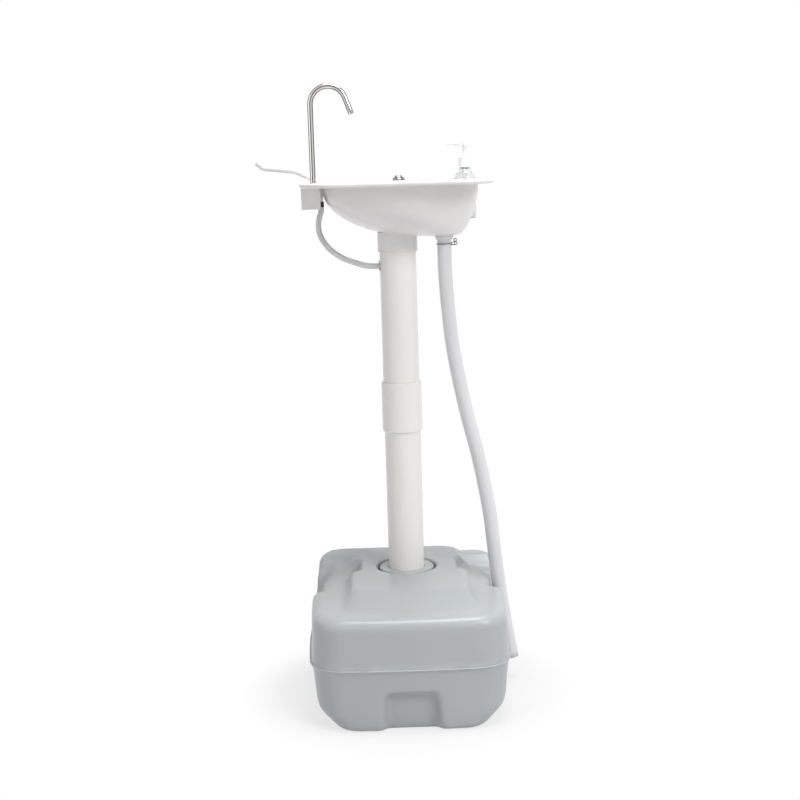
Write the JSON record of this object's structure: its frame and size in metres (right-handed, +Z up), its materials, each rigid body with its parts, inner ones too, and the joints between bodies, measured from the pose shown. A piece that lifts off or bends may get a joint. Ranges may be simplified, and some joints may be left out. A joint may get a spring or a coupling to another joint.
{
  "type": "portable wash basin",
  "caption": "Basin with swivel spout and soap pump on a two-piece pole that stands in a moulded water tank with a foot pump; a hose hangs from the drain.",
  "frame": {"origin": "on the floor under the tank, on the axis of the pole", "axes": "+Z up along the pole; +X from the spout end of the basin toward the drain end; +Y away from the side that the picture shows"},
  "size_m": [0.4434, 0.4415, 1.0533],
  "materials": {
    "tank": "satin, blow-moulded, fine grain",
    "tank_button": "satin",
    "pole": "smooth, semi-gloss",
    "sleeve": "smooth, semi-gloss",
    "basin": "smooth, semi-gloss",
    "white_plastic": "smooth",
    "white_gloss": "gloss",
    "pale_rubber": "matt",
    "black_rubber": "matt",
    "black_plastic": "satin",
    "spout": "polished along its length",
    "steel": "fine brushed",
    "spring_steel": "drawn wire",
    "chrome": "mirror",
    "clear_hose": "glossy, translucent",
    "drain_hose": "smooth, slightly translucent",
    "bottle": "clear moulded plastic"
  },
  "bodies": {
    "stand": {"tank": "tank", "cap_gasket": "black_rubber", "tank_cap": "tank", "lower_tube": "pole", "sleeve": "sleeve", "upper_tube": "pole", "hose_grommet": "pale_rubber", "basin": "basin", "spout_bush": "white_plastic", "spout_nut": "white_plastic", "supply_elbow": "black_plastic", "supply_hose": "clear_hose", "riser_hose": "clear_hose", "drain_flange": "steel", "drain_gasket": "pale_rubber", "drain_nut": "white_plastic", "drain_tail": "white_plastic", "hose_clamp": "spring_steel", "drain_hose": "drain_hose", "pump_body": "black_plastic", "pump_ring": "tank_button", "pump_bellows": "black_rubber", "pump_spring": "spring_steel", "pump_valve": "black_rubber", "pump_strainer": "white_plastic", "towel_bush": "white_plastic", "towel_nut": "white_plastic", "tap_cap": "chrome", "tap_cap_washer": "black_rubber", "tap_cap_nut": "chrome"},
    "spout": {"spout": "spout"},
    "button": {"pump_button": "tank_button", "pump_rod": "steel", "pump_seal": "black_rubber"},
    "bottle": {"soap_bottle": "bottle", "soap_closure": "white_plastic", "soap_tube": "clear_hose", "soap_spring": "spring_steel"},
    "soap_head": {"soap_head": "white_plastic"},
    "towel_arm": {"towel_arm": "white_gloss"}
  },
  "joints": [
    {"name": "spout_swivel", "type": "hinge", "parent": "stand", "child": "spout", "pos_m": [-0.141, 0, 0.889], "axis": [0, 0, 1], "range_deg": [-90, 90]},
    {"name": "pump_press", "type": "slide", "parent": "stand", "child": "button", "axis": [0, 0, -1], "range_m": [0, 0.012], "stiffness_N_per_m": 2000, "springref_m": -0.012, "deforming": ["pump_bellows", "pump_spring"]},
    {"name": "soap_lift", "type": "slide", "parent": "stand", "child": "bottle", "axis": [0, 0, 1], "range_m": [0, 0.09]},
    {"name": "soap_press", "type": "slide", "parent": "bottle", "child": "soap_head", "axis": [0, 0, -1], "range_m": [0, 0.009], "stiffness_N_per_m": 300, "springref_m": -0.01, "deforming": ["soap_spring"]},
    {"name": "towel_swivel", "type": "hinge", "parent": "stand", "child": "towel_arm", "pos_m": [-0.143, 0.098, 0.889], "axis": [0, 0, 1], "range_deg": [-90, 45]}
  ]
}
